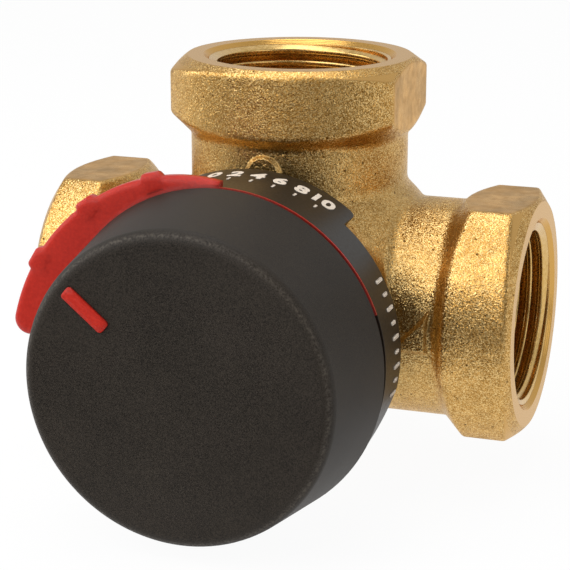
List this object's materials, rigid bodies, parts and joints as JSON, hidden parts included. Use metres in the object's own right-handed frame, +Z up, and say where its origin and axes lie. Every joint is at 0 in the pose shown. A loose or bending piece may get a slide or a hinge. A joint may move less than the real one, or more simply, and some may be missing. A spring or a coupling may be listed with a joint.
{
  "type": "three-way mixing valve",
  "caption": "Brass tee valve with threaded ports, an inner rotary slide on a sealed stem, a red stepped position scale and a black hand knob with a red pointer.",
  "frame": {"origin": "where the axes of the three ports and of the stem cross", "axes": "+X along the right-hand port, +Z up the top port, -Y along the stem towards the knob"},
  "size_m": [0.072, 0.0708, 0.0593],
  "materials": {
    "cast_brass": "shot-blasted casting",
    "machined_brass": "turned, satin",
    "engineering_plastic": "glass-filled moulding",
    "seal_rubber": "matt",
    "spring_steel": "phosphated",
    "black_plastic": "satin moulding",
    "red_plastic": "satin moulding",
    "charcoal_plastic": "fine-grained moulding"
  },
  "bodies": {
    "valve": {"valve_body": "cast_brass", "rear_bush": "engineering_plastic", "thrust_washer": "engineering_plastic", "bonnet": "engineering_plastic", "bonnet_seal": "seal_rubber", "retaining_ring": "spring_steel", "indicator_collar": "black_plastic", "position_scale": "red_plastic"},
    "turning": {"knob": "charcoal_plastic", "pointer_bar": "red_plastic", "stem": "engineering_plastic", "stem_insert": "machined_brass", "stem_seal_inner": "seal_rubber", "stem_seal_outer": "seal_rubber", "rotor_slide": "machined_brass"}
  },
  "joints": [
    {"name": "knob_turn", "type": "hinge", "parent": "valve", "child": "turning", "pos_m": [0, 0, 0], "axis": [0, -1, 0], "range_deg": [-50, 40]}
  ]
}
